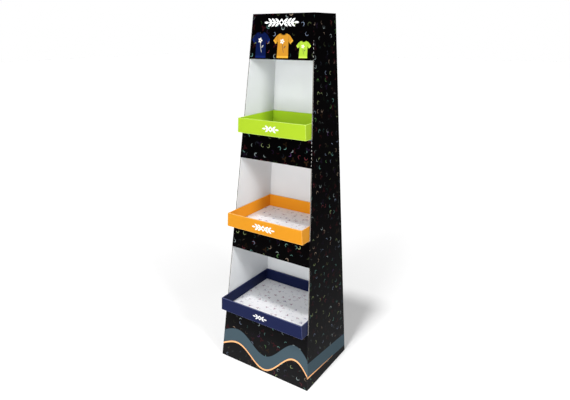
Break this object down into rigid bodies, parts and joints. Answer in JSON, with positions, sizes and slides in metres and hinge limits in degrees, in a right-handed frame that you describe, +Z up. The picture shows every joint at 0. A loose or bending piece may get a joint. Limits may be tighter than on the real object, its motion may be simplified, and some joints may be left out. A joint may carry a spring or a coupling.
{
  "type": "cardboard display stand",
  "caption": "Tall floor display of folded corrugated board, tapered to its header, with open front windows and a shallow goods tray on each shelf.",
  "frame": {"origin": "on the floor, at the centre of the stand's bounding box", "axes": "+Z up, the windows and trays face -Y, +X to the right of someone facing the front"},
  "size_m": [0.5296, 0.4012, 1.7],
  "materials": {
    "printed_black_board": "satin printed board, white inside",
    "white_board": "matte white-lined corrugated board",
    "navy_board": "satin printed board",
    "orange_board": "satin printed board",
    "lime_board": "satin printed board",
    "pad_board": "matte white board with a pale print"
  },
  "bodies": {
    "root": {"sleeve": "printed_black_board", "base_plinth": "white_board", "middle_shelf": "white_board", "top_shelf": "white_board", "bottom_tray": "navy_board", "middle_tray": "orange_board", "top_tray": "lime_board", "bottom_tray_pad": "pad_board", "middle_tray_pad": "pad_board", "top_tray_pad": "pad_board"}
  },
  "joints": []
}
